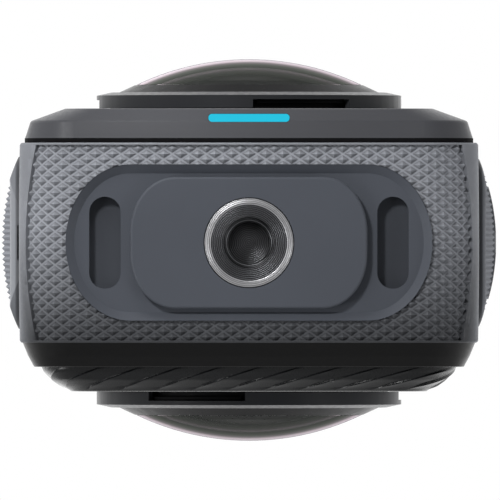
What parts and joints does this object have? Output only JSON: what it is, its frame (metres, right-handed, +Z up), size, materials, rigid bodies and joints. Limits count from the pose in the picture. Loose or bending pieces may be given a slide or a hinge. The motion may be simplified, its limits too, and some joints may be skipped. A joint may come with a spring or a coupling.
{
  "type": "360 degree camera",
  "caption": "Pocket panoramic camera with back-to-back lenses, rubber grip band, swing-open battery door and a tripod socket in its base.",
  "frame": {"origin": "bottom centre of the bounding box, on the face of the mount plate, which is what it stands on", "axes": "+X towards the battery door, +Y out of the display side along both lens axes, +Z up"},
  "size_m": [0.0636, 0.0492, 0.0697],
  "materials": {
    "grip_rubber": "moulded rubber with a fine diamond texture",
    "pad_rubber": "moulded rubber with a fine diamond texture",
    "housing_plastic": "glass filled plastic",
    "gasket_rubber": "soft black seal",
    "cover_plastic": "fine satin texture",
    "front_plastic": "smooth satin black",
    "fascia_metal": "die cast heat sink, black",
    "mount_plastic": "hard slate grey plastic",
    "insert_steel": "turned",
    "keeper_steel": "dark steel",
    "lens_mount_metal": "black anodised",
    "ring_metal": "satin black",
    "bezel_gloss": "polished black",
    "clear_glass": "coated",
    "display_black_glass": "black cover glass",
    "display_panel": "switched off panel",
    "light_bar_blue": "light pipe, lit",
    "lamp_plastic": "milky light pipe",
    "board_green": "circuit board",
    "sensor_silicon": "image sensor under its cover",
    "inner_metal": "sheet metal",
    "steel": "plain",
    "gold_contact": "gold plated",
    "battery_wrap": "printed wrap left bare",
    "tab_plastic": "pull tab film",
    "inner_plastic": "plain black plastic",
    "door_plastic": "soft touch coat",
    "button_rubber": "smooth rubber"
  },
  "bodies": {
    "camera": {"housing": "housing_plastic", "grip_skin": "grip_rubber", "status_lamp": "lamp_plastic", "rear_gasket": "gasket_rubber", "display_cover": "cover_plastic", "display_glass": "display_black_glass", "display_module": "display_panel", "status_light_bar": "light_bar_blue", "front_cover": "front_plastic", "front_fascia": "fascia_metal", "speaker": "inner_metal", "heat_spreader": "inner_metal", "mount_base": "mount_plastic", "mount_plate": "mount_plastic", "tripod_insert": "insert_steel", "left_latch_keeper": "keeper_steel", "right_latch_keeper": "keeper_steel", "door_hinge_pin": "steel", "side_pad": "pad_rubber", "mode_switch": "inner_plastic", "shutter_ring": "ring_metal", "shutter_switch": "inner_plastic", "left_microphone": "inner_metal", "right_microphone": "inner_metal", "battery_bay": "inner_plastic", "battery": "battery_wrap", "battery_contacts": "gold_contact", "battery_tab": "tab_plastic", "main_board": "board_green", "processor_can": "inner_metal", "side_board": "board_green", "data_port": "steel", "card_slot": "steel", "rear_lens_mount": "lens_mount_metal", "rear_lens_seal": "gasket_rubber", "rear_lens_barrel": "lens_mount_metal", "rear_fisheye_element": "clear_glass", "rear_inner_element": "clear_glass", "rear_image_sensor": "sensor_silicon", "rear_sensor_board": "board_green", "front_lens_mount": "lens_mount_metal", "front_lens_seal": "gasket_rubber", "front_lens_barrel": "lens_mount_metal", "front_fisheye_element": "clear_glass", "front_inner_element": "clear_glass", "front_image_sensor": "sensor_silicon", "front_sensor_board": "board_green"},
    "rear_lens_cover": {"rear_cover_ring": "ring_metal", "rear_cover_bezel": "bezel_gloss", "rear_cover_glass": "clear_glass"},
    "front_lens_cover": {"front_cover_ring": "ring_metal", "front_cover_bezel": "bezel_gloss", "front_cover_glass": "clear_glass"},
    "door": {"battery_door": "door_plastic", "door_pad": "pad_rubber", "door_seal": "gasket_rubber"},
    "door_lock": {"door_latch": "button_rubber"},
    "mode": {"mode_button": "button_rubber"},
    "shutter": {"shutter_button": "button_rubber"},
    "card": {"memory_card": "inner_plastic"}
  },
  "joints": [
    {"name": "rear_cover_twist", "type": "hinge", "parent": "camera", "child": "rear_lens_cover", "pos_m": [0, 0.018, 0.046], "axis": [0, 1, 0], "range_deg": [0, 30]},
    {"name": "front_cover_twist", "type": "hinge", "parent": "camera", "child": "front_lens_cover", "pos_m": [0, -0.018, 0.046], "axis": [0, -1, 0], "range_deg": [0, 30]},
    {"name": "door_swing", "type": "hinge", "parent": "camera", "child": "door", "pos_m": [0.02897, 0.00093, 0.0125], "axis": [0, 1, 0], "range_deg": [0, 95]},
    {"name": "lock_slide", "type": "slide", "parent": "door", "child": "door_lock", "axis": [0, 0, 1], "range_m": [0, 0.0016]},
    {"name": "mode_press", "type": "slide", "parent": "camera", "child": "mode", "axis": [1, 0, 0], "range_m": [0, 0.0005], "stiffness_N_per_m": 400},
    {"name": "shutter_press", "type": "slide", "parent": "camera", "child": "shutter", "axis": [0, 0, -1], "range_m": [0, 0.0005], "stiffness_N_per_m": 400, "springref_m": -0.0002},
    {"name": "card_push", "type": "slide", "parent": "camera", "child": "card", "axis": [-1, 0, 0], "range_m": [0, 0.0006], "stiffness_N_per_m": 300}
  ]
}
